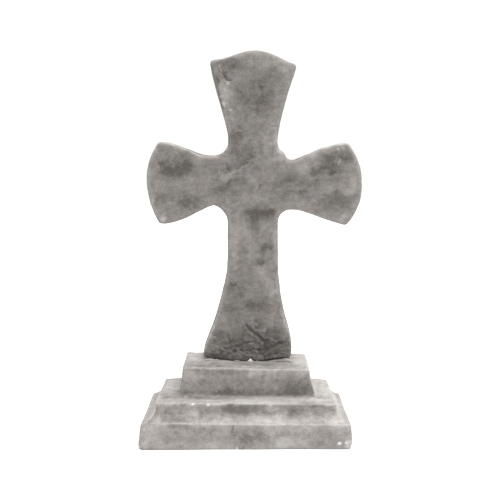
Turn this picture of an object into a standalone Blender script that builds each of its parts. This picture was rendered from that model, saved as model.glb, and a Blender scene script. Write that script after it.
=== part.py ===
"""A standing cross of cast stone: a flat-backed cross with flared limbs, let into a three-tier stepped base.

Run with: blender --background --python part.py
Metres, +Z up. The front faces -Y, and the backs of both pieces lie in one plane.
"""

from collections import namedtuple
from math import atan, cos, radians, sin, tan

import bmesh
import bpy
from mathutils import Vector

# Cross, measured from the middle of its crossing
CROSS_THICKNESS = 0.024
HEAD_REACH = 0.1030
RIGHT_ARM_REACH = 0.0880
LEFT_ARM_REACH = 0.0857
FOOT_REACH = 0.1482
SHAFT_HALF_WIDTH = 0.0204
EDGE_ROUNDING = 0.0022

# Stepped base, with each tier's width and depth at its top edge
BOTTOM_TIER_WIDTH = 0.1616
BOTTOM_TIER_DEPTH = 0.0725
BOTTOM_TIER_HEIGHT = 0.0190
BOTTOM_TIER_DRAFT = 0.0018
MIDDLE_TIER_WIDTH = 0.1402
MIDDLE_TIER_DEPTH = 0.0651
MIDDLE_TIER_BAND = 0.0054
COVE_HEIGHT = 0.0080
COVE_RUN_SIDE = 0.0075
COVE_RUN_FRONT = 0.0056
COVE_HOLLOWNESS = 1.7
TOP_TIER_WIDTH = 0.1016
TOP_TIER_DEPTH = 0.0462
TOP_TIER_HEIGHT = 0.0227
TOP_TIER_DRAFT_SIDE = 0.0020
TOP_TIER_DRAFT_FRONT = 0.0008
BOTTOM_TIER_ROUNDING = 0.0014
MIDDLE_TIER_ROUNDING = 0.0022
TOP_TIER_ROUNDING = 0.0016
PLAN_CORNER_ROUNDING = 0.0028

# How the cross stands in the base, which sits to the left of the shaft
SEAT_DEPTH = 0.0009
SEAT_CLEARANCE = 0.0003
BASE_SHIFT_LEFT = 0.0055

# One side of a limb: fillet is how far out from the crossing its fillet ends, flare how far out it starts to
# widen, and half_width its distance off the axis there. Between the two it is straight, if they differ. The
# tip's corner is at spread off the axis and setback short of the limb's reach. The flare begins over the
# share ease of its length, and over the share settle comes to the corner at the slope lean. fullness is how
# round this half of the limb's curved end is, where 1 is a true arc.
Side = namedtuple("Side", "fillet flare half_width spread setback ease settle lean fullness")

# A limb: before is the side met first going clockwise from the head's left, and drift is how far the furthest
# point of the curved end lies towards the after side.
Limb = namedtuple("Limb", "out reach drift before after")

HEAD = Limb(
    out=Vector((0.0, 1.0)),
    reach=HEAD_REACH,
    drift=0.0026,
    before=Side(
        fillet=0.0320, flare=0.0320, half_width=SHAFT_HALF_WIDTH,
        spread=0.0341, setback=0.0084, ease=0.30, settle=0.35, lean=0.12, fullness=0.9,
    ),
    after=Side(
        fillet=0.0325, flare=0.0325, half_width=SHAFT_HALF_WIDTH,
        spread=0.0347, setback=0.0114, ease=0.35, settle=0.30, lean=0.25, fullness=0.4,
    ),
)
RIGHT_ARM = Limb(
    out=Vector((1.0, 0.0)),
    reach=RIGHT_ARM_REACH,
    drift=0.0020,
    before=Side(
        fillet=0.0310, flare=0.0310, half_width=0.0189,
        spread=0.0320, setback=0.0125, ease=0.20, settle=0.35, lean=0.08, fullness=1.0,
    ),
    after=Side(
        fillet=0.0310, flare=0.0310, half_width=0.0220,
        spread=0.0351, setback=0.0124, ease=0.25, settle=0.35, lean=0.28, fullness=1.0,
    ),
)
FOOT = Limb(
    out=Vector((0.0, -1.0)),
    reach=FOOT_REACH,
    drift=0.0020,
    before=Side(
        fillet=0.0320, flare=0.0600, half_width=SHAFT_HALF_WIDTH,
        spread=0.0318, setback=0.0050, ease=0.55, settle=0.20, lean=-0.25, fullness=1.0,
    ),
    after=Side(
        fillet=0.0330, flare=0.0560, half_width=SHAFT_HALF_WIDTH,
        spread=0.0411, setback=0.0048, ease=0.45, settle=0.15, lean=-0.05, fullness=1.0,
    ),
)
LEFT_ARM = Limb(
    out=Vector((-1.0, 0.0)),
    reach=LEFT_ARM_REACH,
    drift=0.0020,
    before=Side(
        fillet=0.0320, flare=0.0320, half_width=0.0185,
        spread=0.0334, setback=0.0100, ease=0.25, settle=0.35, lean=0.03, fullness=1.0,
    ),
    after=Side(
        fillet=0.0320, flare=0.0320, half_width=0.0215,
        spread=0.0330, setback=0.0105, ease=0.25, settle=0.35, lean=0.18, fullness=1.0,
    ),
)
CLOCKWISE_LIMBS = (HEAD, RIGHT_ARM, FOOT, LEFT_ARM)
FILLET_ROUNDNESS = 0.55
OUTLINE_STEPS = 8
COVE_STEPS = 5

BASE_HEIGHT = BOTTOM_TIER_HEIGHT + COVE_HEIGHT + MIDDLE_TIER_BAND + TOP_TIER_HEIGHT
BASE_WIDTH = BOTTOM_TIER_WIDTH + 2 * BOTTOM_TIER_DRAFT
BASE_DEPTH = BOTTOM_TIER_DEPTH + BOTTOM_TIER_DRAFT
CROSSING_HEIGHT = BASE_HEIGHT - SEAT_DEPTH + FOOT_REACH

# The object's box is centred on X = 0 and Y = 0
LEFT_EXTENT = max(BASE_SHIFT_LEFT + BASE_WIDTH / 2, LEFT_ARM_REACH)
RIGHT_EXTENT = max(BASE_WIDTH / 2 - BASE_SHIFT_LEFT, RIGHT_ARM_REACH)
SHAFT_X = (LEFT_EXTENT - RIGHT_EXTENT) / 2
BASE_X = SHAFT_X - BASE_SHIFT_LEFT
BACK_Y = BASE_DEPTH / 2


def clear_scene():
    for old in list(bpy.data.objects):
        bpy.data.objects.remove(old, do_unlink=True)


def new_collection(name):
    collection = bpy.data.collections.new(name)
    bpy.context.scene.collection.children.link(collection)
    return collection


def stone(name, colour):
    material = bpy.data.materials.new(name)
    material.use_nodes = True
    shader = material.node_tree.nodes["Principled BSDF"]
    shader.inputs["Base Color"].default_value = (*colour, 1.0)
    shader.inputs["Roughness"].default_value = 0.9
    shader.inputs["Metallic"].default_value = 0.0
    return material


def limb_points(limb, grow):
    """The limb's outline going clockwise, as (left handle, point, right handle), grown outwards by grow."""
    out = limb.out
    across = Vector((-out.y, out.x))
    belly = out * (limb.reach + grow) - across * limb.drift

    def side_points(side, sign):
        """The points from the crossing out to the corner, and the length of the curved end's handles."""
        half_width = side.half_width + grow
        corner_out = limb.reach - side.setback
        corner = out * (corner_out + grow) + across * (sign * (side.spread + grow))
        fillet_end = out * side.fillet + across * (sign * half_width)
        flare_start = out * side.flare + across * (sign * half_width)
        flare_length = corner_out - side.flare
        approach = out + across * (sign * side.lean)
        fillet_handle = fillet_end - out * (FILLET_ROUNDNESS * (side.fillet - SHAFT_HALF_WIDTH))
        flare_handle = flare_start + out * (side.ease * flare_length)
        if side.flare > side.fillet:
            third = (flare_start - fillet_end) / 3
            waist = [
                [fillet_handle, fillet_end, fillet_end + third],
                [flare_start - third, flare_start, flare_handle],
            ]
        else:
            waist = [[fillet_handle, fillet_end, flare_handle]]

        run = side.spread + sign * limb.drift
        half_angle = 2 * atan(side.setback / run)
        handle = side.fullness * 4 / 3 * tan(half_angle / 4) * run / sin(half_angle)
        corner_handle = corner + handle * (out * sin(half_angle) - across * (sign * cos(half_angle)))
        tip = [corner - approach * (side.settle * flare_length), corner, corner_handle]
        return waist + [tip], handle

    before, before_reach = side_points(limb.before, 1)
    after, after_reach = side_points(limb.after, -1)
    middle = [belly + across * before_reach, belly, belly - across * after_reach]
    back_again = [list(reversed(point)) for point in reversed(after)]
    return before + [middle] + back_again


def cross_prism(name, grow, thickness):
    """The cross's outline as a flat curve in its own XY plane, extruded to the thickness, made a mesh."""
    curve = bpy.data.curves.new(name, "CURVE")
    curve.dimensions = "2D"
    curve.fill_mode = "BOTH"
    curve.extrude = thickness / 2
    curve.resolution_u = OUTLINE_STEPS
    curve.render_resolution_u = 0
    outline = [point for limb in CLOCKWISE_LIMBS for point in limb_points(limb, grow)]
    spline = curve.splines.new("BEZIER")
    spline.bezier_points.add(len(outline) - 1)
    spline.use_cyclic_u = True
    for bezier, (left, place, right) in zip(spline.bezier_points, outline):
        bezier.handle_left_type = bezier.handle_right_type = "FREE"
        bezier.handle_left = (*left, 0.0)
        bezier.co = (*place, 0.0)
        bezier.handle_right = (*right, 0.0)

    drawn = bpy.data.objects.new(name + "_outline", curve)
    bpy.context.scene.collection.objects.link(drawn)
    drawn.rotation_euler = (radians(90), 0.0, 0.0)
    bpy.context.view_layer.update()
    evaluated = drawn.evaluated_get(bpy.context.evaluated_depsgraph_get())
    mesh = bpy.data.meshes.new_from_object(evaluated)
    mesh.name = name
    solid = bpy.data.objects.new(name, mesh)
    solid.matrix_world = drawn.matrix_world.copy()
    bpy.data.objects.remove(drawn, do_unlink=True)
    bpy.data.curves.remove(curve)

    work = bmesh.new()
    work.from_mesh(mesh)
    bmesh.ops.remove_doubles(work, verts=work.verts, dist=0.00001)
    for facing in (1, -1):
        cap = [face for face in work.faces if face.normal.z * facing > 0.9]
        bmesh.ops.dissolve_faces(work, faces=cap)
    bmesh.ops.recalc_face_normals(work, faces=work.faces)
    work.to_mesh(mesh)
    work.free()
    return solid


def base_levels():
    """Each ring of the base going up, as (half width, depth, height, rounding of its edges)."""
    middle_foot = BOTTOM_TIER_HEIGHT
    top_foot = middle_foot + COVE_HEIGHT + MIDDLE_TIER_BAND
    cove = []
    for step in range(COVE_STEPS + 1):
        rise = step / COVE_STEPS
        spread = (1 - rise) ** COVE_HOLLOWNESS
        half_width = MIDDLE_TIER_WIDTH / 2 + COVE_RUN_SIDE * spread
        depth = MIDDLE_TIER_DEPTH + COVE_RUN_FRONT * spread
        cove.append((half_width, depth, middle_foot + COVE_HEIGHT * rise, 0.0))
    return [
        (BASE_WIDTH / 2, BASE_DEPTH, 0.0, BOTTOM_TIER_ROUNDING),
        (BOTTOM_TIER_WIDTH / 2, BOTTOM_TIER_DEPTH, BOTTOM_TIER_HEIGHT, BOTTOM_TIER_ROUNDING),
        *cove,
        (MIDDLE_TIER_WIDTH / 2, MIDDLE_TIER_DEPTH, top_foot, MIDDLE_TIER_ROUNDING),
        (TOP_TIER_WIDTH / 2 + TOP_TIER_DRAFT_SIDE, TOP_TIER_DEPTH + TOP_TIER_DRAFT_FRONT, top_foot, 0.0),
        (TOP_TIER_WIDTH / 2, TOP_TIER_DEPTH, BASE_HEIGHT, TOP_TIER_ROUNDING),
    ]


def stepped_block(name):
    """The tiers, raised ring by ring as a block twice as deep, then cut square along the back plane.

    The mesh's bevel weights are shares of the plan corners' rounding, which is the largest.
    """
    work = bmesh.new()
    weight = work.edges.layers.float.new("bevel_weight_edge")
    bmesh.ops.create_cube(work, size=1.0)

    def set_ring(corners, level):
        half_width, depth, height, _ = level
        for corner in corners:
            side = 1 if corner.co.x > 0 else -1
            front = 1 if corner.co.y > 0 else -1
            corner.co = (side * half_width, front * depth, height)

    levels = base_levels()
    work.faces.ensure_lookup_table()
    underside = min(work.faces, key=lambda face: face.calc_center_median().z)
    top = max(work.faces, key=lambda face: face.calc_center_median().z)
    set_ring(underside.verts, levels[0])
    set_ring(top.verts, levels[1])
    rings = [(underside.edges, levels[0][3]), (top.edges, levels[1][3])]
    for level in levels[2:]:
        raised = bmesh.ops.extrude_face_region(work, geom=[top])["geom"]
        bmesh.ops.delete(work, geom=[top], context="FACES_ONLY")
        top = next(part for part in raised if isinstance(part, bmesh.types.BMFace))
        set_ring(top.verts, level)
        rings.append((top.edges, level[3]))
    work.normal_update()
    for edge in work.edges:
        edge[weight] = 1.0 if edge.calc_face_angle() > radians(30) else 0.0
    for ring, rounding in rings:
        for edge in ring:
            edge[weight] = rounding / PLAN_CORNER_ROUNDING

    everything = list(work.verts) + list(work.edges) + list(work.faces)
    bmesh.ops.bisect_plane(work, geom=everything, plane_co=(0, 0, 0), plane_no=(0, 1, 0), clear_outer=True)
    cut = [edge for edge in work.edges if edge.is_boundary]
    bmesh.ops.contextual_create(work, geom=cut)
    for edge in cut:
        edge[weight] = 0.0
    bmesh.ops.recalc_face_normals(work, faces=work.faces)
    mesh = bpy.data.meshes.new(name)
    work.to_mesh(mesh)
    work.free()
    return bpy.data.objects.new(name, mesh)


def round_edges(solid, width, segments, limit):
    rounded = solid.modifiers.new("rounded_edges", "BEVEL")
    rounded.width = width
    rounded.segments = segments
    rounded.limit_method = limit
    if limit == "ANGLE":
        rounded.angle_limit = radians(30)


def make_cross(collection):
    cross = cross_prism("cross", 0.0, CROSS_THICKNESS)
    collection.objects.link(cross)
    cross.location = (SHAFT_X, BACK_Y - CROSS_THICKNESS / 2, CROSSING_HEIGHT)
    cross.data.materials.append(stone("cross_stone", (0.26, 0.245, 0.23)))
    round_edges(cross, EDGE_ROUNDING, 3, "ANGLE")


def make_base(collection, cutters):
    base = stepped_block("stepped_base")
    collection.objects.link(base)
    base.location = (BASE_X, BACK_Y, 0.0)
    base.data.materials.append(stone("base_stone", (0.36, 0.345, 0.325)))
    round_edges(base, PLAN_CORNER_ROUNDING, 3, "WEIGHT")

    cutter_thickness = 2 * CROSS_THICKNESS
    seat = cross_prism("seat_cutter", SEAT_CLEARANCE, cutter_thickness)
    cutters.objects.link(seat)
    front_of_seat = BACK_Y - CROSS_THICKNESS - SEAT_CLEARANCE
    seat.location = (SHAFT_X, front_of_seat + cutter_thickness / 2, CROSSING_HEIGHT)
    seat.display_type = "WIRE"
    seat.hide_render = True
    cut = base.modifiers.new("seat", "BOOLEAN")
    cut.operation = "DIFFERENCE"
    cut.solver = "EXACT"
    cut.object = seat


clear_scene()
object_parts = new_collection("standing_cross")
object_cutters = new_collection("cutters")
make_cross(object_parts)
make_base(object_parts, object_cutters)
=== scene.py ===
"""A standing cross with flared ends on a stepped base, both cast in stone and weathered."""

from collections import namedtuple
from math import radians

import bpy
import numpy as np
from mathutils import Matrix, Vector, noise


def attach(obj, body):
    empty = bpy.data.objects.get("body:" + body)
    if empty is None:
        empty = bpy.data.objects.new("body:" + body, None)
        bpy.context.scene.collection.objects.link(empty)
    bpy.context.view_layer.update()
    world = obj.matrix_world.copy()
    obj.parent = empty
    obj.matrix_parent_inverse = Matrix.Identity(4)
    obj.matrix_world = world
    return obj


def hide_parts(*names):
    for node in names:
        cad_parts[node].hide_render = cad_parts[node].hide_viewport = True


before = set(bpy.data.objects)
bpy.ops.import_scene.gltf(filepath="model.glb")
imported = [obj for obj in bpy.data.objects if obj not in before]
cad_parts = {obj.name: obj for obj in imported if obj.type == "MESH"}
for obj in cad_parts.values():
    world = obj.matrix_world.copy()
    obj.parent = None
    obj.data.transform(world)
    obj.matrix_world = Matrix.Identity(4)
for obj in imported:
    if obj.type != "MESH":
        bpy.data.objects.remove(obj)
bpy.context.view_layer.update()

# The stepped base is one block of pale cast stone in three tiers, poured face down in a hand-cut mould.
# Its treads have worn smooth and pale and carry painted light, its risers are clouded with damp and painted
# shade, and its arrises are soft and chipped, with painted highlights. The cross's foot is bedded on its top
# tread in a little pale mortar.
BASE_GRAIN = 0.00078
JOIN_DISTANCE = 0.00001


def sculpting_copy(node_name, name, grain):
    """A copy of the CAD solid, its loose triangles joined, remade as an even skin of squares to sculpt."""
    bpy.ops.object.select_all(action="DESELECT")
    piece = bpy.data.objects.new(name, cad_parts[node_name].data.copy())
    bpy.context.scene.collection.objects.link(piece)
    bpy.context.view_layer.objects.active = piece
    piece.select_set(True)
    bpy.ops.object.mode_set(mode="EDIT")
    bpy.ops.mesh.select_all(action="SELECT")
    bpy.ops.mesh.remove_doubles(threshold=JOIN_DISTANCE)
    bpy.ops.object.mode_set(mode="OBJECT")
    skin = piece.modifiers.new("skin", "REMESH")
    skin.mode = "VOXEL"
    skin.voxel_size = grain
    bpy.ops.object.modifier_apply(modifier=skin.name)
    return piece


def soften(piece, name, passes):
    """Takes the sharpness off the skin, as years of rain and handling do."""
    wear = piece.modifiers.new(name, "SMOOTH")
    wear.factor = 0.5
    wear.iterations = passes
    bpy.ops.object.modifier_apply(modifier=wear.name)


def uneven(piece, name, wave, octaves, height):
    """Waves in the skin of that length, up to the height, from a cloud that is the same each time."""
    cloud = bpy.data.textures.new(name, "CLOUDS")
    cloud.noise_scale = wave
    cloud.noise_depth = octaves
    swell = piece.modifiers.new(name, "DISPLACE")
    swell.texture = cloud
    swell.texture_coords = "LOCAL"
    swell.direction = "NORMAL"
    swell.mid_level = 0.5
    swell.strength = height
    bpy.ops.object.modifier_apply(modifier=swell.name)


def skin_points(piece):
    """The skin's points and their normals, as two tables of three columns."""
    count = len(piece.data.vertices)
    places = np.empty(count * 3, dtype=np.float32)
    piece.data.vertices.foreach_get("co", places)
    facing = np.empty(count * 3, dtype=np.float32)
    piece.data.vertex_normals.foreach_get("vector", facing)
    return places.reshape(-1, 3).astype(float), facing.reshape(-1, 3).astype(float)


def set_skin_points(piece, places):
    piece.data.vertices.foreach_set("co", places.astype(np.float32).ravel())
    piece.data.update()


def smooth_step(value):
    """0 below 0, 1 above 1, and an easy slope between."""
    value = np.clip(value, 0.0, 1.0)
    return value * value * (3 - 2 * value)


def higher_than(places, level, fade):
    """0 at each point below the level and 1 from a fade above it."""
    return smooth_step((places[:, 2] - level) / fade)


def lower_than(places, level, fade):
    """0 at each point above the level and 1 from a fade below it."""
    return smooth_step((level - places[:, 2]) / fade)


FRONT, LEFT, RIGHT, UP = (0, -1, 0), (-1, 0, 0), (1, 0, 0), (0, 0, 1)


def turned_to(facing, side, start, fade):
    """How far the skin is turned to that side: 0 up to the start and 1 from a fade beyond it."""
    return smooth_step((facing @ side - start) / fade)


Patch = namedtuple("Patch", "across up wide high depth turn", defaults=(0,))
PATCH_EDGE = 1.35

# Unless it is seeded, noise_vector starts from the clock.
WANDER_SEED = 4
noise.seed_set(WANDER_SEED)


def wander(places, wave, reach):
    """Each point pushed a little way by a cloud, so that what is placed by it has a ragged edge."""
    pushes = [noise.noise_vector(Vector(place) / wave) for place in places]
    return places + reach * np.array(pushes)


def patch_cover(across, up, patches):
    """How much the patches cover each point, where 1 is all. Their places and sizes are in millimetres."""
    cover = np.zeros(len(across))
    for patch in patches:
        turn = radians(patch.turn)
        aside = across * 1000 - patch.across
        above = up * 1000 - patch.up
        along = (aside * np.cos(turn) + above * np.sin(turn)) / patch.wide
        over = (above * np.cos(turn) - aside * np.sin(turn)) / patch.high
        distance = np.hypot(along, over)
        cover = cover + patch.depth * smooth_step(PATCH_EDGE - distance)
    return cover


Push = namedtuple("Push", "centre reach move")


def pushed(places, pushes):
    """Moves what is near each centre, less and less out to its reach. All is in millimetres."""
    for push in pushes:
        away = (places * 1000 - push.centre) / push.reach
        near = smooth_step(1 - np.linalg.norm(away, axis=1))
        places = places + near[:, None] * np.array(push.move) / 1000
    return places


def line_distance(across, up, line):
    """How far each point is from the line, on which side of it (left is 1), and how far along it, 0 to 1."""
    nearest = np.full(len(across), np.inf)
    side = np.zeros(len(across))
    along = np.zeros(len(across))
    knots = np.array(line, dtype=float)
    steps = np.diff(knots, axis=0)
    lengths = np.hypot(steps[:, 0], steps[:, 1])
    gone = 0.0
    for start, step, length in zip(knots, steps, lengths):
        aside, above = across - start[0], up - start[1]
        share = np.clip((aside * step[0] + above * step[1]) / length**2, 0.0, 1.0)
        distance = np.hypot(aside - share * step[0], above - share * step[1])
        closer = distance < nearest
        nearest = np.where(closer, distance, nearest)
        side = np.where(closer, np.sign(step[0] * above - step[1] * aside), side)
        along = np.where(closer, (gone + share * length) / lengths.sum(), along)
        gone += length
    return nearest, side, along


Groove = namedtuple("Groove", "line width start_depth end_depth")


def groove_depth(across, up, grooves):
    """How deep the grooves are at each point. Widths, depths and lines are in millimetres."""
    deepest = np.zeros(len(across))
    for groove in grooves:
        distance, _, along = line_distance(across * 1000, up * 1000, groove.line)
        depth = groove.start_depth + (groove.end_depth - groove.start_depth) * along
        cut = depth * smooth_step(1 - distance / groove.width)
        deepest = np.where(np.abs(cut) > np.abs(deepest), cut, deepest)
    return deepest


def hollowness(piece, passes):
    """How many millimetres each point lies below the skin around it: above 0 in hollows, below on arrises."""
    count = len(piece.data.edges)
    ends = np.empty(count * 2, dtype=np.int32)
    piece.data.edges.foreach_get("vertices", ends)
    ends = ends.reshape(-1, 2)
    places, facing = skin_points(piece)
    total = len(places)
    meets = np.bincount(ends.ravel(), minlength=total)
    level = places.copy()
    for _ in range(passes):
        sums = np.empty_like(level)
        for axis in range(3):
            column = level[:, axis]
            sums[:, axis] = np.bincount(ends[:, 0], weights=column[ends[:, 1]], minlength=total)
            sums[:, axis] += np.bincount(ends[:, 1], weights=column[ends[:, 0]], minlength=total)
        level = sums / meets[:, None]
    return ((level - places) * facing).sum(axis=1) * 1000


LEAST_HOLE, MOST_HOLE, HOLE_DEPTH = 0.9, 2.1, 0.45


def pitted(places, facing, count, seed):
    """Small round holes left by air in the mould, in the sides and the back, which nobody smoothed over."""
    draws = np.random.default_rng(seed)
    side_or_back = (facing[:, 1] > -0.2) & (np.abs(facing[:, 2]) < 0.5)
    unrubbed = np.nonzero(side_or_back & (places[:, 2] > 0.004))[0]
    sunk = np.zeros(len(places))
    for hole in draws.choice(unrubbed, count, replace=False):
        reach = draws.uniform(LEAST_HOLE, MOST_HOLE)
        away = np.linalg.norm(places - places[hole], axis=1) * 1000
        sunk = np.maximum(sunk, HOLE_DEPTH * reach * smooth_step(1.0 - away / reach))
    return places - facing * sunk[:, None] / 1000


MOST_PAINT = 4.0


def paint(piece, name, amounts):
    """Stores the amounts at the skin's points, for the finish to read."""
    layer = piece.data.attributes.new(name, "FLOAT", "POINT")
    layer.data.foreach_set("value", np.clip(amounts, 0.0, MOST_PAINT).astype(np.float32))


base = sculpting_copy("stepped_base", "weathered_base", BASE_GRAIN)
soften(base, "mould_wear", passes=5)
uneven(base, "hand_cut_mould", wave=0.030, octaves=2, height=0.0011)
uneven(base, "worn_arrises", wave=0.006, octaves=3, height=0.0005)

# The treads fall a little to the right, and corners and edges are knocked in or stand proud.
BASE_HEIGHT = 0.055
BOTTOM_TIER_HEIGHT = 0.019
TREAD_FALL = 0.014
TREAD_LIFT, LIFT_TOP, LIFT_FADE = 0.0006, 0.060, 0.020
BASE_PUSHES = [
    Push((66, 37, 33), (11, 14, 12), (-0.5, 0, -1.2)),
    Push((-76, 37, 33), (16, 14, 14), (0, 0, -1.2)),
    Push((-84, -40, 0), (70, 30, 22), (0, -1.3, 0)),
    Push((80, -37, 0), (8, 26, 7), (-2.5, 1.2, 1.9)),
    Push((-87, -20, 0), (6, 80, 5), (1.5, 0, 1.0)),
    Push((-84, -20, 22), (14, 90, 14), (0.5, 0, 0)),
    Push((48, -12, 32), (10, 30, 20), (2.6, 0, 0)),
    Push((-83, -39, 20), (9, 9, 6), (0.9, 1.2, -1.0)),
]
places, facing = skin_points(base)
places[:, 2] -= TREAD_FALL * places[:, 0] * places[:, 2] / BASE_HEIGHT
lift = TREAD_LIFT * higher_than(places, 0.0, BOTTOM_TIER_HEIGHT)
places[:, 2] += lift * lower_than(places, LIFT_TOP, LIFT_FADE)
places = pushed(places, BASE_PUSHES)

# Pale mortar beds the cross's curved foot on the top tread, and a crumb of it stands proud of the joint.
TOP_TREAD_LEVEL, NEAR_TOP_TREAD = 0.0551, 0.050
FOOT_MIDDLE, FOOT_HALF_WIDTH = -0.0046, 0.0364
FOOT_BOTTOM, FOOT_CORNER_RISE = 0.0543, 0.0036
FOOT_FRONT = 0.01315
BED_LEAST_RUN, BED_SLOPE = 0.0008, 0.5
BED_END, BED_END_FADE = 1.06, 0.22
LUMP_SIZE, LUMP_HEIGHT = 0.0035, 0.0009
CRUMB_ACROSS, CRUMB_BACK, CRUMB_SIZE = -0.0020, 0.0122, 0.0026
LEAST_MORTAR = 0.0001
across = (places[:, 0] - FOOT_MIDDLE) / FOOT_HALF_WIDTH
foot_rise = np.clip(FOOT_BOTTOM + FOOT_CORNER_RISE * across**2 - TOP_TREAD_LEVEL, 0.0, FOOT_CORNER_RISE)
bed_run = BED_LEAST_RUN + BED_SLOPE * foot_rise
bed = smooth_step((places[:, 1] - FOOT_FRONT + bed_run) / bed_run)
bed *= smooth_step((BED_END - np.abs(across)) / BED_END_FADE)
from_crumb = np.hypot(places[:, 0] - CRUMB_ACROSS, places[:, 1] - CRUMB_BACK) / CRUMB_SIZE
crumb = CRUMB_SIZE * np.clip(1.0 - from_crumb, 0.0, 1.0)
lumps = np.array([noise.noise(Vector(place) / LUMP_SIZE) for place in places])
mortar = (foot_rise + LUMP_HEIGHT * np.clip(lumps, 0.0, 1.0)) * bed + crumb
mortared = (mortar > LEAST_MORTAR) & (places[:, 2] > NEAR_TOP_TREAD)
places[:, 2] = np.where(mortared, np.maximum(places[:, 2], TOP_TREAD_LEVEL + mortar), places[:, 2])
places = pitted(places, facing, count=40, seed=11)
places[:, 2] = np.maximum(places[:, 2], 0.0)
set_skin_points(base, places)

# Clouds of damp, rubbed places, chips and a hairline crack lie where the photograph shows them, with
# painted shade and painted light among them.
places, facing = skin_points(base)
ragged = wander(places, wave=0.006, reach=0.0022)
crumbly = wander(places, wave=0.0016, reach=0.0004)
fronting = turned_to(facing, FRONT, start=0.25, fade=0.4)
rising = turned_to(facing, UP, start=0.3, fade=0.4)
# The long bands across the risers are painted shade as well as damp.
RISER_DAMP_AND_SHADE = [
    Patch(-3, 11.5, 13, 6, 0.50),
    Patch(-71, 10, 7, 5, 0.30),
    Patch(-10, 29, 14, 3.2, 0.75),
    Patch(32, 28.3, 8, 3, 0.50),
    Patch(-64, 25.5, 9, 5, 0.15),
    Patch(-45, 24, 26, 4, 0.35),
    Patch(0, 24, 75, 3.5, 0.35),
    Patch(-50, 12, 30, 7, 0.15),
    Patch(35, 38.5, 12, 5, 0.60),
    Patch(0, 32.5, 54, 2.5, 0.40),
    Patch(-21, 34, 9, 2, 0.50),
    Patch(-54, 35, 4, 3, 0.50),
    Patch(0, 35, 50, 3, 0.35),
    Patch(0, 44, 56, 12, 0.40),
    Patch(51, 37, 5, 6, 0.50),
    Patch(-22, 53.5, 10, 4, 0.50),
    Patch(-46, 55, 9, 2.5, 0.50),
    Patch(-21.4, 36, 8, 5, 0.80),
    Patch(-77, 26, 6, 5, 0.90),
    Patch(-18, 27.5, 7, 3.5, 0.90, -20),
    Patch(-57.5, 19.5, 9, 4.5, 0.60),
    Patch(-40, 15.5, 14, 2.5, 0.35),
    Patch(-16, 11, 3.5, 4, 0.50),
    Patch(-5.4, 6, 5, 6, 0.70),
    Patch(9, 8.7, 5, 5, 0.50),
    Patch(-66.7, 7, 5, 4, 0.35),
    Patch(40, 9.4, 4, 3.5, 0.50),
    Patch(49, 4, 7, 2.5, 0.45),
    Patch(31, 25, 5, 3, 0.80),
    Patch(41, 31.5, 12, 1.6, 0.60),
    Patch(55.6, 31, 9, 1.5, 0.40),
    Patch(43, 45, 6, 6, 0.40),
    Patch(33, 46, 12, 3, 0.30),
    Patch(-68, 24.5, 3, 4, 0.60),
    Patch(-80, 20.5, 5, 2, 0.80),
    Patch(-6, 26.5, 7, 2.5, 0.50),
]
# Painted shade, with dirt, darkens the top tread in front of the cross's foot and to its sides.
TOP_TREAD_SHADE_AND_DIRT = [
    Patch(-4, 4, 40, 6, 0.50),
    Patch(-35, -3, 22, 5, 0.60),
    Patch(37, -2, 7, 8, 0.50),
]
# Painted shade, with dirt, darkens the lower treads at the foot of the risers and on the left.
LOWER_TREAD_SHADE_AND_DIRT = [
    Patch(-58, -8, 9, 5, 0.50),
    Patch(0, -11, 55, 5, 0.40),
    Patch(-38, -15, 30, 4.5, 1.00),
    Patch(-69, -14, 5, 6, 0.80),
    Patch(-55, 8, 5, 16, 0.60),
    Patch(-62, -1, 8, 6, 0.40),
    Patch(-51, -9, 4, 4, 0.60),
    Patch(43, -25, 8, 3, 0.60),
]
LOWER_TREAD_RUBS = [
    Patch(62, 15, 12, 30, 0.60),
    Patch(-66, 20, 8, 25, 0.40),
    Patch(1, -24, 20, 7, 0.50),
    Patch(49, 10, 4, 25, 0.60),
    Patch(50, -18, 14, 4, 0.60),
]
# Painted light, as well as wear, brightens parts of the top tread.
TOP_TREAD_LIGHT_AND_WEAR = [
    Patch(44, 16, 16, 30, 1.20),
    Patch(-48, 26, 10, 14, 1.30),
    Patch(-28, 15, 14, 8, 0.80),
]
Chip = namedtuple("Chip", "centre reach whiteness")
PALE_CHIPS = [
    Chip((-46.4, -28, 32.6), (1.3, 2, 1.1), 2.4),
    Chip((-34.8, -28, 32.4), (1.5, 2, 1.0), 2.4),
    Chip((-53.6, -12, 33), (1.3, 3, 1.2), 1.3),
    Chip((-12.3, -37.1, 0.8), (1.1, 2, 1.3), 2.4),
    Chip((66.5, -37.1, 4.9), (1.8, 2, 1.4), 3.2),
    Chip((71.6, -37.1, 5.4), (1.7, 2, 1.1), 1.2),
    Chip((-59.4, -36.8, 15.3), (1.1, 2, 1.0), 0.9),
    Chip((-48.8, -36.8, 14.8), (1.1, 2, 1.0), 0.7),
    Chip((-2.0, 12.2, 57.5), (2.6, 4, 2.6), 1.8),
]
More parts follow.
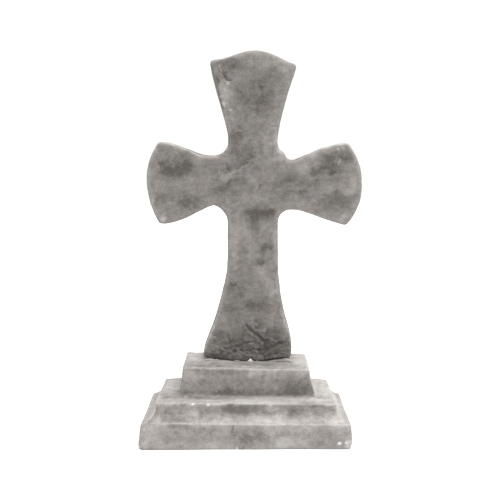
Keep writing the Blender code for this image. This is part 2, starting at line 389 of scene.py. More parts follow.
RISER_RUBS = [
    Patch(40, 8.7, 5, 8, 0.35, -35),
    Patch(-46, 47.5, 7, 5, 0.30),
    Patch(14, 50.5, 6, 3, 0.20),
    Patch(2, 52, 7, 4, 0.80),
    Patch(14, 51, 5, 7, 0.60),
    Patch(-51, 48, 5, 7, 0.60),
    Patch(42, 52.5, 4, 3, 0.50),
    Patch(-48, 29, 9, 5, 0.60),
    Patch(-45, 24.5, 4, 4, 0.60),
    Patch(-31, 31.5, 9, 2, 0.40),
    Patch(15.5, 30.5, 5, 3, 0.60),
    Patch(16, 19, 9, 7, 0.60),
    Patch(24.5, 5, 9, 5, 0.70),
    Patch(-29, 2.5, 9, 3, 0.50),
    Patch(-82, 15, 4, 4, 0.20),
    Patch(-83, 4, 4, 5, 0.70),
    Patch(36, 16, 9, 2.5, 0.50),
    Patch(68, 19, 9, 5, 0.70),
    Patch(73, 3, 4, 4, 1.20),
    Patch(39, 48, 5, 5, 0.40),
    Patch(24, 50, 6, 6, 0.40),
    Patch(-26, 32.5, 5, 2, 0.60),
    Patch(-76, 13, 9, 12, 0.35),
]
RISER_HAIRLINE = [Groove([(-15.2, 18.2), (-16.2, 15.5), (-16.6, 12)], 0.9, 1.4, 0.6)]
# Painted shade and dirt darken the base's hollows, more where they are deeper.
BASE_HOLLOW_SHADE_AND_DIRT, RISER_MOST_HOLLOW = 1.2, 0.6
hollow = hollowness(base, passes=6)
in_top_tier = higher_than(places, level=0.045, fade=0.004)
on_top, on_lower = rising * in_top_tier, rising * (1 - in_top_tier)
damp_and_shade = fronting * patch_cover(ragged[:, 0], ragged[:, 2], RISER_DAMP_AND_SHADE)
damp_and_shade += BASE_HOLLOW_SHADE_AND_DIRT * np.clip(hollow, 0, RISER_MOST_HOLLOW)
damp_and_shade += on_top * patch_cover(ragged[:, 0], ragged[:, 1], TOP_TREAD_SHADE_AND_DIRT)
damp_and_shade += on_lower * patch_cover(ragged[:, 0], ragged[:, 1], LOWER_TREAD_SHADE_AND_DIRT)
damp_and_shade += fronting * groove_depth(crumbly[:, 0], crumbly[:, 2], RISER_HAIRLINE)

# Painted shade and dirt darken the tread along the foot's joint, but not the crumb of mortar.
JOINT_SHADE_AND_DIRT, JOINT_SHADE_AND_DIRT_REACH, JOINT_SHADE_AND_DIRT_WANDER = 0.8, 2.6, 0.8
CRUMB_EDGE = 0.9
HALF_FOOT_MM = 36
beside_foot = np.maximum(np.abs(across) - 1.0, 0) * HALF_FOOT_MM
before_foot = (places[:, 1] - FOOT_FRONT + bed_run) * 1000
from_joint = np.hypot(beside_foot, before_foot) + JOINT_SHADE_AND_DIRT_WANDER * (ragged[:, 0] - places[:, 0]) * 1000
joint_shade_and_dirt = smooth_step(1.0 - from_joint / JOINT_SHADE_AND_DIRT_REACH) * smooth_step(from_crumb - CRUMB_EDGE)
damp_and_shade += JOINT_SHADE_AND_DIRT * on_top * joint_shade_and_dirt
paint(base, "damp_and_shade", damp_and_shade)

# The arrises are rubbed pale and carry painted highlights, least at the left end, where the cove's side
# carries painted light up to its mitre. Painted light and pale dust brighten the lower treads, and painted
# light the sides turned to the right.
TREAD_ARRIS_HIGHLIGHT_AND_WEAR, TREAD_MOST_ARRIS, SPARED_AT_LEFT = 0.8, 0.5, 0.8
LEFT_END, LEFT_END_FADE = -0.066, 0.005
LOWER_TREAD_LIGHT_AND_DUST, COVE_SIDE_LIGHT, RIGHT_SIDE_LIGHT = 0.35, 1.7, 0.4
CHIP_EDGE = 1.3
spared = SPARED_AT_LEFT * smooth_step((LEFT_END - places[:, 0]) / LEFT_END_FADE)
mitre = turned_to(facing, LEFT, start=0.3, fade=0.15) * turned_to(facing, FRONT, start=0.2, fade=0.15)
mitre *= higher_than(places, level=0.020, fade=0.002) * lower_than(places, level=0.034, fade=0.002)
cove_side = turned_to(facing, LEFT, start=0.3, fade=0.4) * (1 - mitre)
cove_side *= higher_than(places, level=0.019, fade=0.010) * lower_than(places, level=0.035, fade=0.003)
right_side = turned_to(facing, RIGHT, start=0.3, fade=0.4) * higher_than(places, level=0.016, fade=0.006)
wear_and_highlight = fronting * patch_cover(ragged[:, 0], ragged[:, 2], RISER_RUBS)
# Painted highlight, with wear, on the arrises.
wear_and_highlight += TREAD_ARRIS_HIGHLIGHT_AND_WEAR * np.clip(-hollow, 0, TREAD_MOST_ARRIS) * (1 - spared)
# Painted light on the lower treads (with pale dust), on the cove's left side and on the sides turned right.
wear_and_highlight += LOWER_TREAD_LIGHT_AND_DUST * on_lower + COVE_SIDE_LIGHT * cove_side + RIGHT_SIDE_LIGHT * right_side
wear_and_highlight += on_top * patch_cover(ragged[:, 0], ragged[:, 1], TOP_TREAD_LIGHT_AND_WEAR)
wear_and_highlight += on_lower * patch_cover(ragged[:, 0], ragged[:, 1], LOWER_TREAD_RUBS)
for chip in PALE_CHIPS:
    away = (crumbly * 1000 - chip.centre) / chip.reach
    wear_and_highlight += chip.whiteness * smooth_step(CHIP_EDGE - np.linalg.norm(away, axis=1))
paint(base, "wear_and_highlight", wear_and_highlight)


CLOUD_SIZE, MOTTLE_SIZE, GRAIN_SIZE = 1 / 60, 1 / 230, 1 / 900
MEAN_TONE, PATTERN_SHARE, WEATHER_SHARE = 0.285, 0.36, 0.18
DARK_TONE, MIDDLE_TONE, LIGHT_TONE, FRESH_TONE = 0.09, 0.30, 0.51, 0.90


def cast_stone(name, dark, middle, light, fresh):
    """Matte cast stone: clouded, mottled and grained, darker where water-stained or painted with shade,
    lighter where worn, chipped or painted with light.
    """
    finish = bpy.data.materials.new(name)
    finish.use_nodes = True
    nodes, links = finish.node_tree.nodes, finish.node_tree.links
    surface = nodes["Principled BSDF"]
    surface.inputs["Roughness"].default_value = 0.92
    surface.inputs["Specular IOR Level"].default_value = 0.25
    stretch = nodes.new("ShaderNodeMapping")
    stretch.inputs["Scale"].default_value = (1.0, 1.0, 1.35)
    links.new(nodes.new("ShaderNodeTexCoord").outputs["Object"], stretch.inputs["Vector"])
    place = stretch.outputs["Vector"]

    def cloud(size, detail):
        pattern = nodes.new("ShaderNodeTexNoise")
        pattern.inputs["Scale"].default_value = 1 / size
        pattern.inputs["Detail"].default_value = detail
        pattern.inputs["Roughness"].default_value = 0.65
        links.new(place, pattern.inputs["Vector"])
        return pattern.outputs["Fac"]

    def amount(attribute):
        source = nodes.new("ShaderNodeAttribute")
        source.attribute_name = attribute
        return source.outputs["Fac"]

    def add(total, term, share):
        step = nodes.new("ShaderNodeMath")
        step.operation = "MULTIPLY_ADD"
        step.inputs[1].default_value = share
        links.new(term, step.inputs[0])
        if isinstance(total, float):
            step.inputs[2].default_value = total
        else:
            links.new(total, step.inputs[2])
        return step.outputs[0]

    clouds, mottle, grain = cloud(CLOUD_SIZE, 7.0), cloud(MOTTLE_SIZE, 5.0), cloud(GRAIN_SIZE, 3.0)
    tone = MEAN_TONE - 0.5 * 3 * PATTERN_SHARE
    for pattern in (clouds, mottle, grain):
        tone = add(tone, pattern, PATTERN_SHARE)
    tone = add(tone, amount("damp_and_shade"), -WEATHER_SHARE)
    tone = add(tone, amount("wear_and_highlight"), WEATHER_SHARE)
    colours = nodes.new("ShaderNodeValToRGB")
    steps = colours.color_ramp.elements
    steps[0].position, steps[0].color = DARK_TONE, (*dark, 1.0)
    steps[1].position, steps[1].color = FRESH_TONE, (*fresh, 1.0)
    steps.new(MIDDLE_TONE).color = (*middle, 1.0)
    steps.new(LIGHT_TONE).color = (*light, 1.0)
    links.new(tone, colours.inputs["Fac"])
    links.new(colours.outputs["Color"], surface.inputs["Base Color"])

    relief = nodes.new("ShaderNodeBump")
    relief.inputs["Strength"].default_value = 0.5
    relief.inputs["Distance"].default_value = 0.0004
    links.new(add(add(0.0, mottle, 0.5), grain, 0.6), relief.inputs["Height"])
    links.new(relief.outputs["Normal"], surface.inputs["Normal"])
    return finish


base.data.materials.clear()
base.data.materials.append(cast_stone(
    "pale_cast_stone",
    dark=(0.105, 0.095, 0.086), middle=(0.218, 0.203, 0.191),
    light=(0.335, 0.320, 0.306), fresh=(0.62, 0.612, 0.60),
))
bpy.ops.object.shade_smooth()
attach(base, "root")
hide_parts("stepped_base")

# The cross is one slab of greyer cast stone, its four ends flared and rounded, let a little way into the top
# tread. Its front was floated by hand, which left a ridge at the crossing, and damp has stained it.
CROSS_GRAIN = 0.0010


def refine(piece, zones):
    """Cuts the front's squares in four within the zones: left, bottom, right and top, in millimetres."""
    count = len(piece.data.polygons)
    middles = np.empty(count * 3, dtype=np.float32)
    piece.data.polygons.foreach_get("center", middles)
    facing = np.empty(count * 3, dtype=np.float32)
    piece.data.polygons.foreach_get("normal", facing)
    middles, facing = middles.reshape(-1, 3) * 1000, facing.reshape(-1, 3)
    chosen = np.zeros(count, dtype=bool)
    for left, bottom, right, top in zones:
        between = (middles[:, 0] > left) & (middles[:, 0] < right)
        within = between & (middles[:, 2] > bottom) & (middles[:, 2] < top)
        chosen |= within & (facing[:, 1] < -0.2)
    bpy.context.tool_settings.mesh_select_mode = (False, False, True)
    bpy.ops.object.mode_set(mode="EDIT")
    bpy.ops.mesh.select_all(action="DESELECT")
    bpy.ops.object.mode_set(mode="OBJECT")
    piece.data.polygons.foreach_set("select", chosen)
    bpy.ops.object.mode_set(mode="EDIT")
    bpy.ops.mesh.subdivide(number_cuts=1)
    bpy.ops.object.mode_set(mode="OBJECT")


Scarp = namedtuple("Scarp", "line depth onset reach lip")
SCARP_END, LIP_ONSET, LIP_REACH = 0.12, 0.5, 2.2


def scarp_depth(across, up, scarps):
    """Flaked hollows: deep just left of the line and fading away from it, with a raised lip to its right."""
    total = np.zeros(len(across))
    for scarp in scarps:
        distance, side, along = line_distance(across * 1000, up * 1000, scarp.line)
        ends = smooth_step(along / SCARP_END) * smooth_step((1 - along) / SCARP_END)
        inside = smooth_step(distance / scarp.onset) * smooth_step(1 - distance / scarp.reach)
        outside = smooth_step(distance / LIP_ONSET) * smooth_step(1 - distance / LIP_REACH)
        total += ends * np.where(side > 0, scarp.depth * inside, -scarp.lip * outside)
    return total


LEDGE_FLATNESS = 1.6
BREAK_SMOOTHNESS, BREAK_SPREAD, BREAK_OCTAVES = 0.7, 2.1, 4


def broken_skin(places, patches, wave):
    """A broken surface with level ledges within the patches, whose depths are its heights in millimetres."""
    heights = patch_cover(places[:, 0], places[:, 2], patches)
    flattened = places * (1.0, 1.0, LEDGE_FLATNESS)
    rough = np.nonzero(heights > 0.001)[0]
    for index in rough:
        spot = Vector(flattened[index]) / wave
        heights[index] *= noise.fractal(spot, BREAK_SMOOTHNESS, BREAK_SPREAD, BREAK_OCTAVES)
    return heights


cross = sculpting_copy("cross", "weathered_cross", CROSS_GRAIN)
soften(cross, "mould_wear", passes=2)

# Its outline was trimmed by hand, so the limbs' curves swell and sag a little.
CROSS_PUSHES = [
    Push((-19, 0, 300), (17, 90, 14), (0, 0, -1.7)),
    Push((-31, 0, 297), (7, 90, 7), (-0.4, 0, 1.0)),
    Push((14, 0, 303), (13, 90, 12), (0, 0, 0.8)),
    Push((28, 0, 296), (9, 90, 9), (0.5, 0, -0.4)),
    Push((-20, 0, 238), (12, 90, 20), (0.8, 0, 0)),
    Push((20, 0, 235), (11, 90, 16), (-1.1, 0, 0)),
    Push((24, 0, 225.5), (6, 90, 6), (1.3, 0, 1.3)),
    Push((-83, 0, 233), (7, 90, 8), (0.5, 0, -1.2)),
    Push((-65, 0, 229), (12, 90, 14), (0, 0, 1.1)),
    Push((-42, 0, 224), (13, 90, 14), (0, 0, -1.2)),
    Push((-51, 0, 176), (30, 90, 24), (0, 0, -2.1)),
    Push((-33, 0, 183), (6, 90, 8), (0, 0, 0.5)),
    Push((-82, 0, 171), (7, 90, 8), (0.0, 0, 1.6)),
    Push((32, 0, 222), (13, 90, 14), (0, 0, -1.3)),
    Push((54, 0, 229), (9, 90, 12), (0, 0, 1.2)),
    Push((81, 0, 233), (7, 90, 7), (0.3, 0, 1.2)),
    Push((60, 0, 173), (16, 90, 14), (0, 0, -0.6)),
    Push((-33, 0, 84), (12, 90, 30), (1.0, 0, 0)),
    Push((24, 0, 90), (10, 90, 14), (-1.1, 0, 0)),
    Push((-41, 0, 58), (10, 90, 6), (0.4, 0, -1.5)),
    Push((32, 0, 58), (10, 90, 6), (0.2, 0, -1.5)),
]
places, _ = skin_points(cross)
set_skin_points(cross, pushed(places, CROSS_PUSHES))
uneven(cross, "floated_face", wave=0.034, octaves=2, height=0.0012)
uneven(cross, "worn_edges", wave=0.007, octaves=3, height=0.0006)

# The skin is finer where the relief is: on the broken foot, at the scars and under the arm's scratch.
BROKEN_FOOT, FOOT_CRACK = (-40, 54, 38, 92), (-8, 56, 34, 88)
HEAD_SCAR, HEAD_SCAR_EDGE = (-28, 276, -10, 300), (-27, 278, -14, 296)
CROSSING_SCAR, ARM_SCRATCH = (-27, 205, 8, 227), (64, 212, 75, 232)
refine(cross, [BROKEN_FOOT, HEAD_SCAR, CROSSING_SCAR, ARM_SCRATCH])
refine(cross, [FOOT_CRACK, HEAD_SCAR_EDGE])

# The face is broken at the foot and scarred at the head and the crossing, and has a crack and pits.
FACE_SCARPS = [
    Scarp(
        [(7.4, 74), (7.8, 66), (9, 60), (12.6, 61.5), (16, 63.5), (21.7, 66.5), (27, 69.5)],
        depth=1.9, onset=2.6, reach=10, lip=0.0,
    ),
    Scarp(
        [(-24.5, 296), (-25.3, 291), (-24.3, 287.5), (-23.5, 284.5), (-21.6, 282), (-18.8, 281), (-15, 282)],
        depth=0.9, onset=0.9, reach=5, lip=0.55,
    ),
    Scarp(
        [(-23, 221), (-21.4, 212.4), (-18.2, 208.6), (-13.5, 212), (-7, 215),
         (-1, 219.5), (2.5, 222.3), (1.5, 226)],
        depth=0.55, onset=1.4, reach=9, lip=0.3,
    ),
]
FACE_GROOVES = [
    Groove([(-5.2, 85.5), (-2.3, 81.6), (1.8, 78.6), (5.5, 75.5), (8.2, 72)], 2.7, 1.2, 1.9),
    Groove([(22.5, 69.8), (26.6, 71.3), (29.5, 73.5)], 2.2, 0.5, 0.4),
    Groove([(-12, 67), (-6, 70.3), (-2, 70.5)], 2.2, 0.4, 0.9),
    Groove([(-10.5, 64), (-6, 63), (-0.5, 62.8)], 1.9, 0.8, 0.4),
    Groove([(-21, 76.5), (-19.6, 74), (-18.6, 70.5)], 1.9, 0.4, 0.9),
    Groove([(1.5, 226), (2.6, 222.5)], 1.3, 0.3, 0.5),
    Groove([(5.5, 200), (4, 195.5)], 1.5, 0.5, 0.3),
    Groove([(-2.0, 53), (-1.9, 58.8)], 3.4, 2.5, 0.4),
]
FACE_PITS = [
    Patch(-15.4, 63, 1.6, 1.6, 0.6),
    Patch(-14.5, 67, 1.4, 1.2, 0.5),
    Patch(6.5, 138, 3.6, 2.2, 0.5),
    Patch(-15.9, 119.5, 2.2, 2.4, 0.5),
    Patch(13.6, 284, 1.5, 1.0, 0.4, -40),
    Patch(7, 276.5, 3.0, 1.5, 0.3, -45),
    Patch(3.1, 85.7, 1.6, 1.6, -0.4),
    Patch(-18.5, 73.5, 1.0, 1.2, -0.4),
]
BROKEN_FACE = [
    Patch(-4, 65, 20, 10, 0.60),
    Patch(18, 66, 16, 9, 0.50),
    Patch(-28, 66, 12, 10, 0.35),
    Patch(-18, 290, 6, 8, 0.35),
]
places, facing = skin_points(cross)
fine = wander(wander(places, wave=0.0040, reach=0.0011), wave=0.0016, reach=0.0004)
fronting = turned_to(facing, FRONT, start=0.25, fade=0.4)
sunk = scarp_depth(fine[:, 0], fine[:, 2], FACE_SCARPS)
sunk += groove_depth(fine[:, 0], fine[:, 2], FACE_GROOVES)
sunk += patch_cover(fine[:, 0], fine[:, 2], FACE_PITS)
sunk += broken_skin(places, BROKEN_FACE, wave=0.0042)
places[:, 1] += fronting * sunk / 1000
places = pitted(places, facing, count=70, seed=12)
set_skin_points(cross, places)

# Stains, rubbed places, pale specks and scratches lie where the photograph shows them, with painted
# shade and painted highlights among them.
places, facing = skin_points(cross)
ragged = wander(places, wave=0.006, reach=0.0025)
fronting = turned_to(facing, FRONT, start=0.25, fade=0.4)
# Some stains, low on the foot and in its hollow, are painted shade as well as dirt.
FACE_STAINS_AND_SHADE = [
    Patch(-31.2, 286, 2.4, 12, 0.90, 19),
    Patch(-25.4, 263.5, 2.6, 4, 1.30, 19),
    Patch(-27.5, 272, 2.4, 6, 0.60, 19),
    Patch(-22, 284, 3, 2.5, 0.60, -30),
    Patch(0, 273.4, 4.5, 4, 0.40),
    Patch(15, 262, 3, 3, 0.50),
    Patch(-11, 224, 3.5, 2.5, 0.50),
    Patch(-19, 237, 2, 3, 0.50),
    Patch(-52.6, 215, 4, 8, 0.40),
    Patch(-22.3, 211, 7, 3, 0.35),
    Patch(-30.4, 195.6, 3.5, 3, 0.45),
    Patch(50.6, 211, 7, 4, 0.70),
    Patch(51.5, 200.5, 4, 6, 0.50),
    Patch(65, 210, 5, 2.5, 0.60),
    Patch(77.4, 222.5, 3.2, 6, 0.50),
    Patch(13.1, 151, 4, 3, 0.50),
    Patch(-20, 140, 2, 8, 0.40),
    Patch(22.2, 98.5, 2, 7, 0.40),
    Patch(4.3, 85.7, 3.5, 4, 0.60),
    Patch(-16.3, 87.4, 5, 4, 0.40),
    Patch(3.5, 72, 4, 3, 0.60, -35),
    Patch(8.5, 62, 4, 2.5, 1.00, 10),
    Patch(11, 63.5, 5, 3, 0.80, 10),
    Patch(7.2, 278, 5, 4, 0.40),
    Patch(-24.3, 296.5, 9, 2.2, 0.45, 14),
    Patch(-16.5, 294, 7, 5, 0.60),
    Patch(7, 287, 7, 5, 0.30),
    Patch(-1.5, 278.7, 8, 5, 0.25),
    Patch(10.3, 270, 7, 8, 0.60),
    Patch(7.2, 259.5, 5.5, 8, 0.60),
    Patch(-3.9, 254, 3.2, 4, 0.40),
    Patch(-8.6, 247, 3.2, 3.2, 0.50),
    Patch(-15.8, 230.5, 5.5, 7, 0.70),
    Patch(-6.3, 229.7, 7, 5, 0.35),
    Patch(1.7, 212.4, 4, 3, 0.40),
    Patch(-0.7, 266.4, 13, 6, 0.50),
    Patch(-10, 273, 9, 8, 0.25),
    Patch(-14, 240, 6, 4, 0.60),
    Patch(7, 233.6, 4, 4, 0.25),
    Patch(-5.5, 220, 10, 5, 0.50, 35),
    Patch(-19, 214, 4, 5, 0.50),
    Patch(-21.5, 199.7, 12, 5, 0.60, 30),
    Patch(-8, 203, 5, 3.5, 0.40),
    Patch(29.7, 206, 6, 4, 0.45),
    Patch(21, 201.3, 6, 5, 0.40),
    Patch(41.8, 202, 7, 6, 0.30),
    Patch(-61.4, 215.6, 15, 8, 0.70),
    Patch(-67.8, 211, 5, 4, 0.40),
    Patch(-52.5, 225.8, 5, 4, 0.70),
    Patch(-66.3, 208.4, 13, 6.5, 0.55),
    Patch(-61.5, 206, 3.5, 3.5, 0.35),
    Patch(-46.3, 210, 10, 3.2, 0.35),
    Patch(-42.4, 190, 4, 3.5, 0.45),
    Patch(-70.6, 190, 7, 3.5, 0.35),
    Patch(-42.5, 182.8, 10, 2.2, 0.30, 20),
    Patch(-23.3, 177, 2.2, 8, 0.45, 29),
    Patch(-51.3, 186, 9, 6.5, 0.60),
    Patch(62.3, 220.3, 14, 7, 0.70, 20),
    Patch(67.2, 215.6, 14, 5, 0.55, 36),
    Patch(68.4, 189.2, 11, 6, 0.60),
    Patch(39.5, 192.4, 5, 5, 0.75),
    Patch(29.8, 194.8, 11, 2.5, 0.25),
    Patch(35.3, 208.4, 2.5, 3.2, 0.30),
    Patch(17.7, 204.5, 3.2, 3.2, 0.30),
    Patch(-8.7, 196.4, 7, 3, 0.35, 15),
    Patch(-18.4, 191.6, 3.2, 2.5, 0.35),
    Patch(2.5, 175.5, 13, 6, 0.75),
    Patch(11, 180, 8.5, 6, 0.75),
    Patch(15.4, 177, 5, 5, 0.40),
    Patch(0.9, 174, 4, 5, 0.30),
    Patch(9.1, 145.4, 3.2, 7.5, 0.60),
    Patch(5, 135.6, 5.5, 2.5, 0.45),
    Patch(-18.5, 143.8, 2.5, 4, 0.45),
    Patch(-18.6, 130, 2.5, 4, 0.25),
    Patch(18.9, 133, 2, 6, 0.30),
    Patch(-19.5, 115, 4, 4, 0.50),
    Patch(-8, 113.3, 3.2, 4, 0.30),
    Patch(-2.3, 102.4, 5, 6, 0.50),
    Patch(-17, 100, 5, 5, 0.40),
    Patch(-6.4, 100, 20, 10, 0.30),
    Patch(5.1, 88.2, 4, 5, 0.45),
    Patch(-6.4, 81.4, 10, 5, 0.60, -15),
    Patch(-27, 77.2, 6.5, 3.4, 0.70),
    Patch(-14.7, 71.3, 10, 6.5, 0.40),
    Patch(18.3, 81.4, 7.5, 3.3, 0.35),
    Patch(10.1, 62, 6, 2.5, 0.60),
    Patch(16, 56.5, 10, 2, 1.00, 8),
    Patch(-38.8, 59.4, 2.5, 3.4, 0.50),
    Patch(1, 166.6, 6, 6, 0.35),
    Patch(5.8, 139, 4.5, 3, 0.40),
    Patch(11.5, 150.4, 6, 3.5, 0.35, 25),
    Patch(-8, 138, 8, 4, 0.20),
    Patch(-16, 119, 3.5, 3.5, 0.45),
    Patch(-5.6, 112.5, 12, 7, 0.30),
    Patch(7.5, 99, 8, 6, 0.40),
    Patch(5, 107.4, 12, 5, 0.25),
    Patch(0, 66, 40, 13, 0.40),
    Patch(-5, 69, 15, 8, 0.40),
    Patch(12, 64, 5, 6, 0.40),
    Patch(19, 69, 13, 10, 0.70),
    Patch(12.6, 63.7, 7, 5, 0.50),
    Patch(11.2, 68.5, 4, 5, 0.90),
    Patch(-28.7, 68.8, 12, 7, 0.40),
    Patch(-31, 61, 11, 3, 0.50),
    Patch(-32, 58.5, 9, 2.5, 0.50),
    Patch(-19, 56.5, 16, 2, 0.50, 5),
    Patch(15, 80.6, 12, 5, 0.40),
    Patch(-23, 79.7, 10, 4, 0.25),
]
FACE_RUBS = [
    Patch(-23.5, 275, 3.5, 12, 0.60, 15),
    Patch(1.6, 300, 10, 3, 0.30),
    Patch(2.4, 302.6, 3, 3, 0.60),
    Patch(7.1, 296.5, 5, 5, 0.35),
    Patch(21.3, 294, 7, 4.5, 0.50, -30),
    Patch(26.8, 287.2, 4, 7, 0.60),
    Patch(6.4, 288, 5, 4, 0.40),
    Patch(-19.6, 276.4, 3.2, 4, 0.60),
    Patch(-15.7, 254, 3.2, 6.3, 0.55),
    Patch(16.7, 255.5, 4, 6.3, 0.40),
    Patch(15.2, 245.4, 5, 3.2, 0.35),
    Patch(-42.2, 221, 5.5, 3.2, 0.55),
    Patch(-30.2, 222.7, 8, 2.4, 0.35),
    Patch(-21.5, 220.3, 5, 5, 0.45),
    Patch(12.1, 228, 5, 5.5, 0.45),
    Patch(20.8, 224, 4, 6.3, 0.60),
    Patch(25.7, 214.8, 6.5, 5, 0.45),
    Patch(40, 214.8, 6.5, 5.5, 0.75),
    Patch(51.2, 220.3, 6.5, 5, 0.70),
    Patch(44, 204.5, 4, 3.2, 0.30),
    Patch(69.3, 230.5, 5.5, 2.4, 0.65),
    Patch(-19.9, 206, 7, 3.2, 0.75),
    Patch(0.1, 202, 5.5, 3.2, 0.45),
    Patch(9.7, 208.4, 3.2, 6.3, 0.25),
    Patch(-35.9, 203, 3.2, 5, 0.30),
    Patch(-52.8, 202, 4, 4, 0.30),
    Patch(-76, 198, 5, 6.5, 0.35),
    Patch(-82, 188.4, 2.5, 10, 0.40),
    Patch(-78, 216.4, 3.2, 6.5, 0.30),
    Patch(-71, 174, 4, 3.2, 0.90),
    Patch(81, 200.5, 4, 11, 0.60),
    Patch(72, 176, 9, 4.5, 0.45),
    Patch(46, 182, 11, 2.4, 0.25),
    Patch(28.3, 184.4, 8, 3.2, 0.35),
    Patch(-32, 188.4, 6.5, 4, 0.30),
    Patch(-10.4, 165.8, 9, 14.5, 0.50),
    Patch(-10.4, 178.7, 4, 3.2, 0.40),
    Patch(-17, 153.6, 4, 4, 0.40),
    Patch(-2.3, 152, 5.5, 5.5, 0.40),
    Patch(18, 156, 2, 8, 0.45),
    Patch(11.5, 165, 4, 2.4, 0.35),
    Patch(-14.5, 134, 6.5, 3.3, 0.40, 25),
    Patch(7.5, 130, 5.5, 4, 0.45),
    Patch(13.2, 120.8, 3.3, 5, 0.80),
    Patch(15.7, 114, 4, 3.3, 0.40),
    Patch(-28.5, 90.7, 7, 4, 0.40),
    Patch(-36.5, 75, 3, 13, 0.65, -17),
    Patch(-28.8, 67, 7.5, 4, 0.60),
    Patch(26.5, 88, 2, 15, 0.50, 11),
    Patch(14.2, 70.5, 7.5, 2.8, 0.65, 8),
    Patch(9.2, 81.4, 2.5, 2.5, 0.90),
    Patch(11.9, 294, 8, 3, 0.40, 30),
    Patch(-6.3, 296.5, 7, 3, 0.35),
    Patch(-19.6, 272.6, 4, 5, 0.50),
    Patch(21, 227.5, 2.5, 3, 0.60),
    Patch(15.3, 219, 8, 3, 0.35),
    Patch(22.6, 196.4, 4, 3, 0.50),
    Patch(67.9, 219, 5, 3, 0.80),
    Patch(61.5, 226.6, 9, 3, 0.35),
    Patch(76.4, 194, 5, 3.5, 0.80),
    Patch(62.7, 197.3, 4, 3.2, 0.45),
    Patch(72.7, 173, 4.5, 3.5, 0.70),
    Patch(-72.5, 173, 3.5, 3.2, 0.60),
    Patch(-81.5, 208.4, 3.5, 3.2, 0.50),
    Patch(-80.3, 186, 2.2, 5, 0.60),
    Patch(-64.5, 218, 4.5, 4, 0.45),
    Patch(-70, 208.4, 5, 3, 0.40),
    Patch(-76.4, 228, 3, 2.5, 0.50),
    Patch(-2.3, 162, 4, 4.5, 0.50),
    Patch(7.5, 125.8, 3.5, 5, 0.40),
    Patch(-0.7, 108, 7, 4.5, 0.50),
    Patch(18, 114, 3.5, 3, 0.50),
    Patch(23, 73, 5.5, 2.5, 0.60, 15),
    Patch(-34.6, 63.7, 3, 3, 0.50),
    Patch(-19.6, 257, 4, 6, 0.25),
    Patch(16, 235, 6, 7, 0.35),
    Patch(-5.5, 188.4, 11, 5, 0.30),
    Patch(38, 187, 13, 4, 0.30),
    Patch(55, 200, 8, 3.5, 0.30),
    Patch(75, 201, 7, 6, 0.30),
    Patch(-76, 177, 8, 4, 0.35),
    Patch(-52, 226, 11, 4, 0.25),
    Patch(-14.5, 152, 3, 14, 0.45),
    Patch(7.5, 127.4, 8, 5, 0.30),
    Patch(17.3, 118.3, 4, 6, 0.50),
]
FACE_SPECKS = [
    Patch(67.9, 229, 0.9, 0.8, 1.4),
    Patch(71.9, 229.8, 0.9, 0.8, 1.2),
    Patch(-15.9, 120.3, 1.2, 1.0, 1.2),
    Patch(6.7, 138, 1.3, 0.9, 1.0),
    Patch(-31.2, 75.5, 1.2, 0.9, 1.4),
    Patch(3.1, 85.7, 1.4, 1.4, 1.0),
    Patch(-28, 62.8, 1.3, 1.0, 1.2),
    Patch(-19.6, 280.2, 1.8, 1.2, 1.6, -25),
    Patch(-24.4, 270.2, 1.4, 1.2, 1.4),
    Patch(-22.8, 264, 1.3, 2.8, 1.4, 20),
    Patch(-17.5, 259.6, 1.4, 0.9, 1.4, -20),
    Patch(17.8, 222.5, 1.5, 3.5, 0.4, 10),
]
FACE_SCRATCHES = [
    Groove([(69.8, 221), (67.9, 215.6)], 0.8, 1.3, 0.9),
    Groove([(11.6, 245.0), (17.2, 245.4)], 0.8, 1.0, 1.2),
    Groove([(-11.5, 262.5), (3, 262)], 0.9, 0.4, 0.3),
]
# Painted shade and dirt darken the hollows and the sunk relief, more where they are deeper.
FACE_HOLLOW_SHADE_AND_DIRT, FACE_MOST_HOLLOW = 2.0, 0.5
SUNK_SHADE_AND_DIRT, LEAST_SUNK, MOST_SUNK = 0.5, 0.4, 1.4
hollow = hollowness(cross, passes=6)
damp_and_shade = fronting * patch_cover(ragged[:, 0], ragged[:, 2], FACE_STAINS_AND_SHADE)
damp_and_shade += FACE_HOLLOW_SHADE_AND_DIRT * np.clip(hollow, 0, FACE_MOST_HOLLOW)
damp_and_shade += fronting * SUNK_SHADE_AND_DIRT * np.clip(sunk - LEAST_SUNK, 0, MOST_SUNK)
paint(cross, "damp_and_shade", damp_and_shade)

# Edges are rubbed pale and carry painted highlights, and a painted highlight runs along the rim at the tops
# of the arms and down the foot.
FACE_ARRIS_HIGHLIGHT_AND_WEAR, FACE_LEAST_ARRIS, FACE_MOST_ARRIS = 2.0, 0.02, 0.3
RIM_HIGHLIGHT, RIM_START, RIM_START_FADE, RIM_END_FADE = 0.15, 0.97, 0.25, 0.3
RIM_HIGHLIGHTS = [
    Patch(-55, 230, 34, 9, 0.9),
    Patch(62, 232, 34, 9, 0.9),
    Patch(58, 178, 34, 9, 0.7, -8),
    Patch(-26, 300, 9, 6, 0.9),
    Patch(-36, 80, 10, 22, 0.9),
    Patch(33, 82, 8, 22, 0.9),
]
edge_turn = np.abs(facing[:, 1])
rim = smooth_step((RIM_START - edge_turn) / RIM_START_FADE) * smooth_step(edge_turn / RIM_END_FADE)
wear_and_highlight = fronting * patch_cover(ragged[:, 0], ragged[:, 2], FACE_RUBS)
wear_and_highlight += FACE_ARRIS_HIGHLIGHT_AND_WEAR * np.clip(-hollow - FACE_LEAST_ARRIS, 0, FACE_MOST_ARRIS)
wear_and_highlight += rim * (RIM_HIGHLIGHT + patch_cover(places[:, 0], places[:, 2], RIM_HIGHLIGHTS))
crisp = wander(places, wave=0.0016, reach=0.0005)
wear_and_highlight += fronting * patch_cover(crisp[:, 0], crisp[:, 2], FACE_SPECKS)
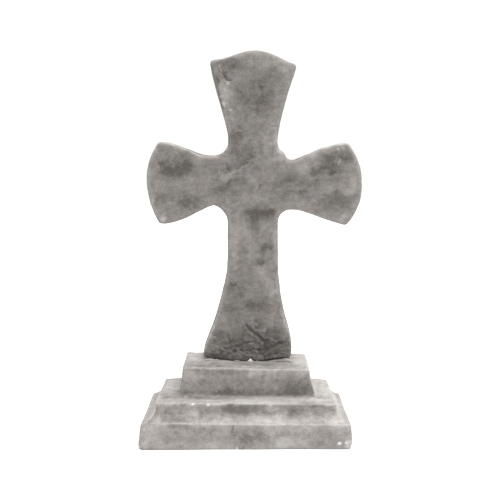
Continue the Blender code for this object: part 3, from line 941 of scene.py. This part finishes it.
wear_and_highlight += fronting * groove_depth(crisp[:, 0], crisp[:, 2], FACE_SCRATCHES)
paint(cross, "wear_and_highlight", wear_and_highlight)

cross.data.materials.clear()
cross.data.materials.append(cast_stone(
    "grey_cast_stone",
    dark=(0.068, 0.061, 0.055), middle=(0.155, 0.143, 0.134),
    light=(0.25, 0.234, 0.219), fresh=(0.50, 0.48, 0.455),
))
bpy.ops.object.shade_smooth()
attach(cross, "root")
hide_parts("cross")

# The floor is a plain matte white board, wide enough to fill every view.
# It lies flat at the height of the base's underside.
FLOOR_WIDTH = 6.0
FLOOR_WHITE = (0.68, 0.68, 0.68, 1.0)
bpy.ops.object.select_all(action="DESELECT")
bpy.ops.mesh.primitive_plane_add(size=FLOOR_WIDTH, location=(0.0, 0.0, 0.0))
floor = bpy.context.object
floor.name = "studio_floor"
white_board = bpy.data.materials.new("white_board")
white_board.use_nodes = True
board_surface = white_board.node_tree.nodes["Principled BSDF"]
board_surface.inputs["Base Color"].default_value = FLOOR_WHITE
board_surface.inputs["Roughness"].default_value = 0.9
floor.data.materials.append(white_board)

# The light is a white studio all round, with one broad soft light overhead.
# That light comes a little from the right and from in front.
STUDIO_STRENGTH = 1.05
OVERHEAD_STRENGTH = 4.7
OVERHEAD_SOFTNESS = 50.0
OVERHEAD_FORWARD = 14.0
OVERHEAD_RIGHT = 12.0
studio = bpy.data.worlds.new("white_studio")
bpy.context.scene.world = studio
studio.use_nodes = True
studio.node_tree.nodes["Background"].inputs["Color"].default_value = (1.0, 1.0, 1.0, 1.0)
studio.node_tree.nodes["Background"].inputs["Strength"].default_value = STUDIO_STRENGTH
overhead = bpy.data.lights.new("overhead_light", "SUN")
overhead.energy = OVERHEAD_STRENGTH
overhead.angle = radians(OVERHEAD_SOFTNESS)
lamp = bpy.data.objects.new("overhead_light", overhead)
bpy.context.scene.collection.objects.link(lamp)
lamp.location = (0.2, -0.3, 1.2)
lamp.rotation_euler = (radians(OVERHEAD_FORWARD), radians(OVERHEAD_RIGHT), 0.0)
bpy.context.scene.view_settings.view_transform = "Standard"

# The camera stands half a metre in front at the height of the arms.
# It looks slightly down, as in the photograph.
CAMERA_PLACE = (-0.0023, -0.5345, 0.2179)
CAMERA_TILT = 7.29
CAMERA_SENSOR, CAMERA_LENS = 36.0, 48.96
camera_lens = bpy.data.cameras.new("front_camera")
camera_lens.sensor_width = CAMERA_SENSOR
camera_lens.lens = CAMERA_LENS
camera = bpy.data.objects.new("front_camera", camera_lens)
bpy.context.scene.collection.objects.link(camera)
camera.location = CAMERA_PLACE
camera.rotation_euler = (radians(90.0 - CAMERA_TILT), 0.0, 0.0)
bpy.context.scene.camera = camera
